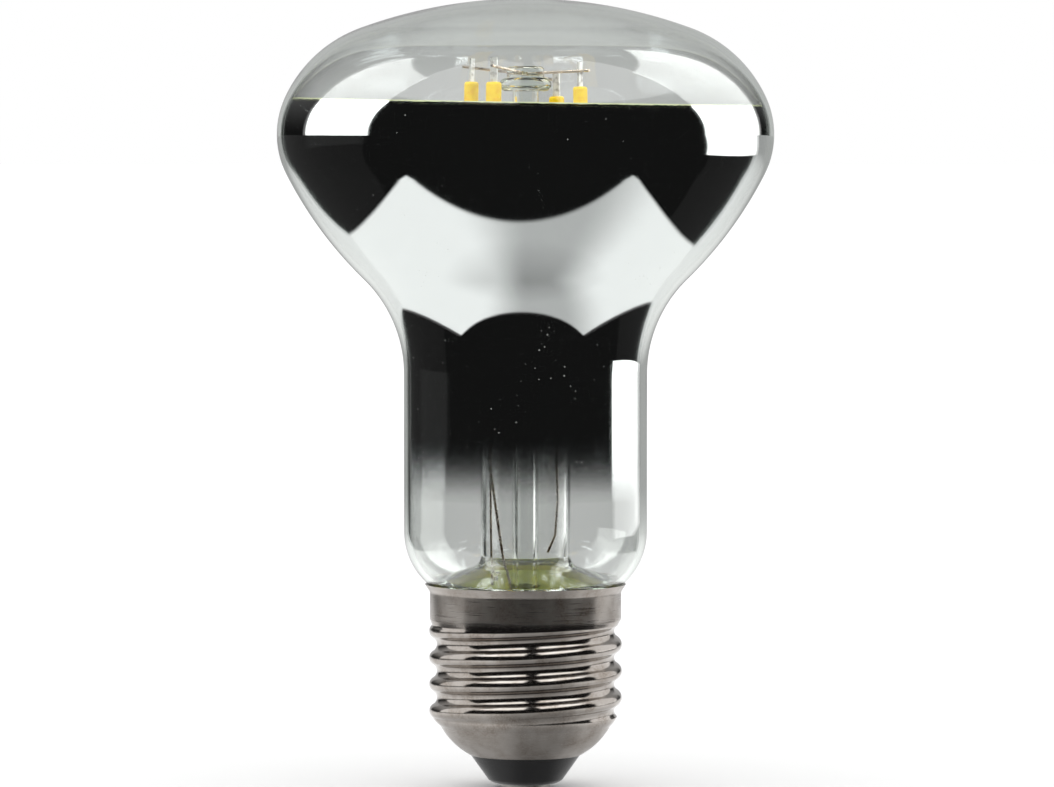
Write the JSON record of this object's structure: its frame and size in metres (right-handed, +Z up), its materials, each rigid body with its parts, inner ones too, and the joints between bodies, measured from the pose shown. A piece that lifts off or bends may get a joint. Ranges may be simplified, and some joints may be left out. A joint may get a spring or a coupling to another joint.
{
  "type": "reflector bulb",
  "caption": "Mirrored reflector lamp with a clear front dome, LED filaments on a glass stem and a rolled screw cap.",
  "frame": {"origin": "middle of the lower face of the centre contact", "axes": "+Z up the lamp's axis towards the head; the front of the lamp faces -Y"},
  "size_m": [0.0674, 0.0674, 0.1072],
  "materials": {
    "clear_glass": "smooth blown soda-lime glass, clear with a faint green",
    "stem_glass": "fire-polished clear tube glass",
    "mirror_film": "aluminium film evaporated inside the glass",
    "phosphor": "yellow phosphor in soft silicone",
    "filament_tab": "punched metal strip, satin",
    "support_wire": "drawn nickel wire, satin",
    "tinned_wire": "tinned copper wire",
    "nickel_shell": "rolled sheet with bright nickel plate",
    "black_glass": "cast black glass, glossy",
    "contact_metal": "pressed and tinned contact",
    "capping_cement": "baked yellowish cement, matte",
    "board_laminate": "glass-fibre laminate, satin",
    "can_aluminium": "drawn can, satin",
    "moulded_epoxy": "moulded epoxy, matte",
    "resistor_coating": "dipped coating, matte"
  },
  "bodies": {
    "root": {"glass_bulb": "clear_glass", "reflector_film": "mirror_film", "glass_stem": "stem_glass", "led_filament_1": "phosphor", "filament_tabs_1": "filament_tab", "led_filament_2": "phosphor", "filament_tabs_2": "filament_tab", "led_filament_3": "phosphor", "filament_tabs_3": "filament_tab", "led_filament_4": "phosphor", "filament_tabs_4": "filament_tab", "top_wire_front": "support_wire", "top_wire_rear": "support_wire", "lead_wire_front": "support_wire", "lead_wire_rear": "support_wire", "bridge_wire": "support_wire", "anchor_wire": "support_wire", "resistor_lead": "tinned_wire", "contact_lead": "tinned_wire", "shell_wire": "tinned_wire", "screw_shell": "nickel_shell", "insulator": "black_glass", "centre_contact": "contact_metal", "capping_cement": "capping_cement", "driver_board": "board_laminate", "smoothing_capacitor": "can_aluminium", "bridge_rectifier": "moulded_epoxy", "driver_chip": "moulded_epoxy", "fuse_resistor": "resistor_coating"}
  },
  "joints": []
}
